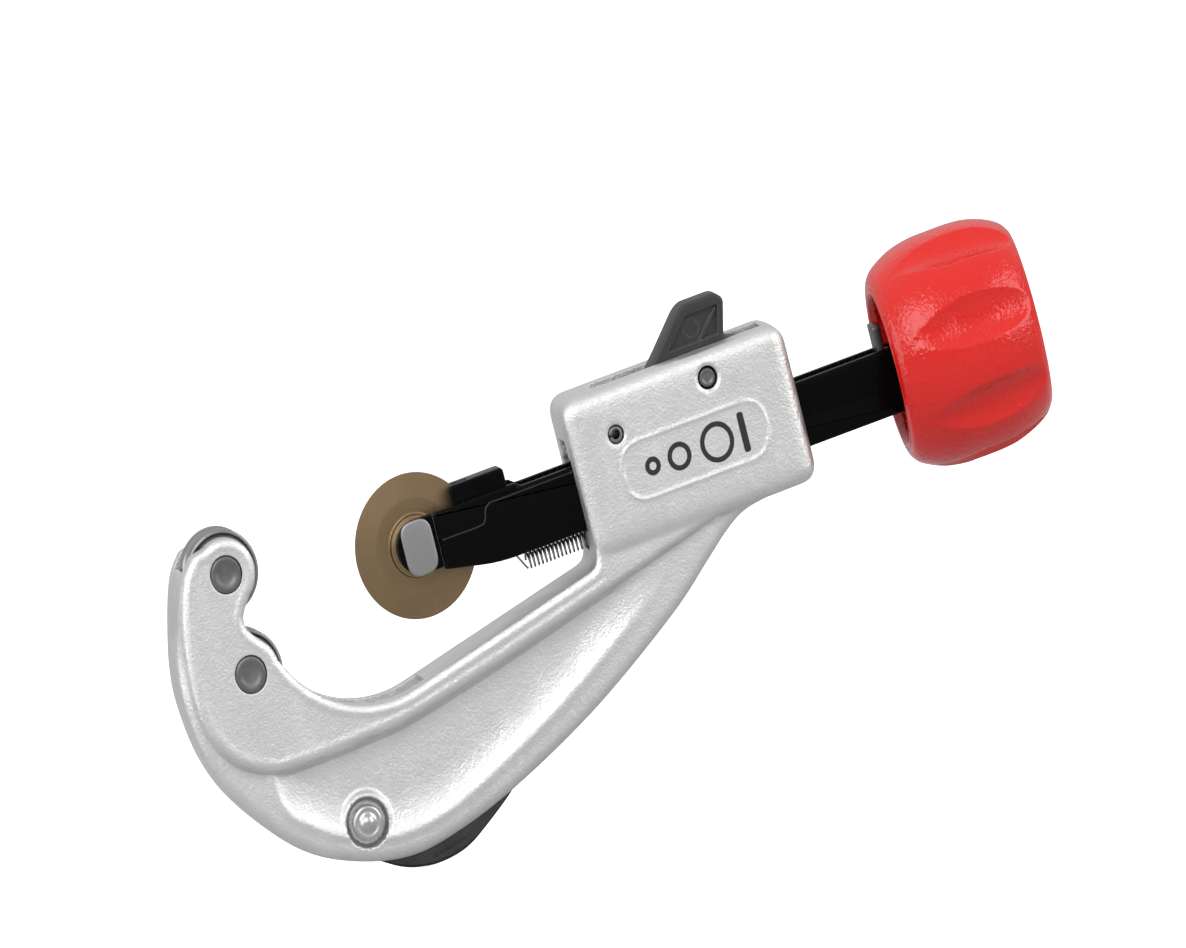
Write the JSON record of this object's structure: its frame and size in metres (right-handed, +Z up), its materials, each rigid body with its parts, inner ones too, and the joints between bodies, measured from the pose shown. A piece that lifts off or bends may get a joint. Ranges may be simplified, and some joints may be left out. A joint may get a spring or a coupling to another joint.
{
  "type": "pipe cutter",
  "caption": "C-shaped cast frame with jaw rollers, a sliding cutter wheel on a feed screw with a fluted knob, a latch lever and a fold-away reamer, for cutting tube.",
  "frame": {"origin": "middle of the bounding box's bottom, under the tool held upright with its feed screw level", "axes": "+X along the feed screw from the jaw to the knob, +Y across the tool, +Z up towards the latch lever"},
  "size_m": [0.1956, 0.0424, 0.0803],
  "materials": {
    "cast_aluminium": "satin die casting with a fine grain",
    "black_steel": "black oxide, oiled",
    "bronzed_steel": "bronze-brown hardened steel, turned",
    "bright_steel": "plain machined steel",
    "dark_steel": "dark, dull steel",
    "cast_dark": "dark grey casting with a sandy grain",
    "spring_steel": "drawn wire",
    "red_enamel": "glossy enamel with orange peel"
  },
  "bodies": {
    "frame": {"frame": "cast_aluminium", "roller_pin_upper": "dark_steel", "roller_pin_lower": "dark_steel", "reamer_pin": "bright_steel", "latch_pin": "dark_steel", "latch_spring": "spring_steel", "stop_roll_pin": "spring_steel", "return_spring": "spring_steel"},
    "slide": {"slide": "black_steel", "guide_block": "black_steel", "wheel_pin": "bright_steel", "wheel_pin_clip": "spring_steel", "bearing_plate": "bright_steel", "thrust_washer": "bright_steel"},
    "knob": {"feed_screw": "bright_steel", "knob": "red_enamel", "knob_washer": "bright_steel", "knob_nut": "bright_steel"},
    "cutter": {"cutter_wheel": "bronzed_steel"},
    "roller_upper": {"roller_upper": "bright_steel"},
    "roller_lower": {"roller_lower": "bright_steel"},
    "latch": {"latch_lever": "cast_dark", "half_nut": "dark_steel"},
    "reamer": {"reamer": "dark_steel"}
  },
  "joints": [
    {"name": "slide_travel", "type": "slide", "parent": "frame", "child": "slide", "axis": [1, 0, 0], "range_m": [-0.0194, 0.0221], "deforming": ["return_spring"]},
    {"name": "knob_turn", "type": "hinge", "parent": "slide", "child": "knob", "pos_m": [0.06425, 0, 0.0557], "axis": [1, 0, 0], "range_deg": [-4370, 4985]},
    {"name": "wheel_spin", "type": "hinge", "parent": "slide", "child": "cutter", "pos_m": [-0.04075, 0, 0.0557], "axis": [0, 1, 0], "continuous": true},
    {"name": "roller_upper_spin", "type": "hinge", "parent": "frame", "child": "roller_upper", "pos_m": [-0.08275, 0, 0.064], "axis": [0, 1, 0], "continuous": true},
    {"name": "roller_lower_spin", "type": "hinge", "parent": "frame", "child": "roller_lower", "pos_m": [-0.08275, 0, 0.0453], "axis": [0, 1, 0], "continuous": true},
    {"name": "latch_press", "type": "hinge", "parent": "frame", "child": "latch", "pos_m": [0.02684, 0, 0.06695], "axis": [0, 1, 0], "range_deg": [0, 12], "stiffness_Nm_per_rad": 0.4, "springref_deg": -5.73, "deforming": ["latch_spring"]},
    {"name": "reamer_fold", "type": "hinge", "parent": "frame", "child": "reamer", "pos_m": [-0.06595, 0, 0.0122], "axis": [0, 1, 0], "range_deg": [0, 110]}
  ],
  "couplings": [
    {"joint": "slide_travel", "follows": "knob_turn", "m_per_rad": 0.00025266}
  ]
}
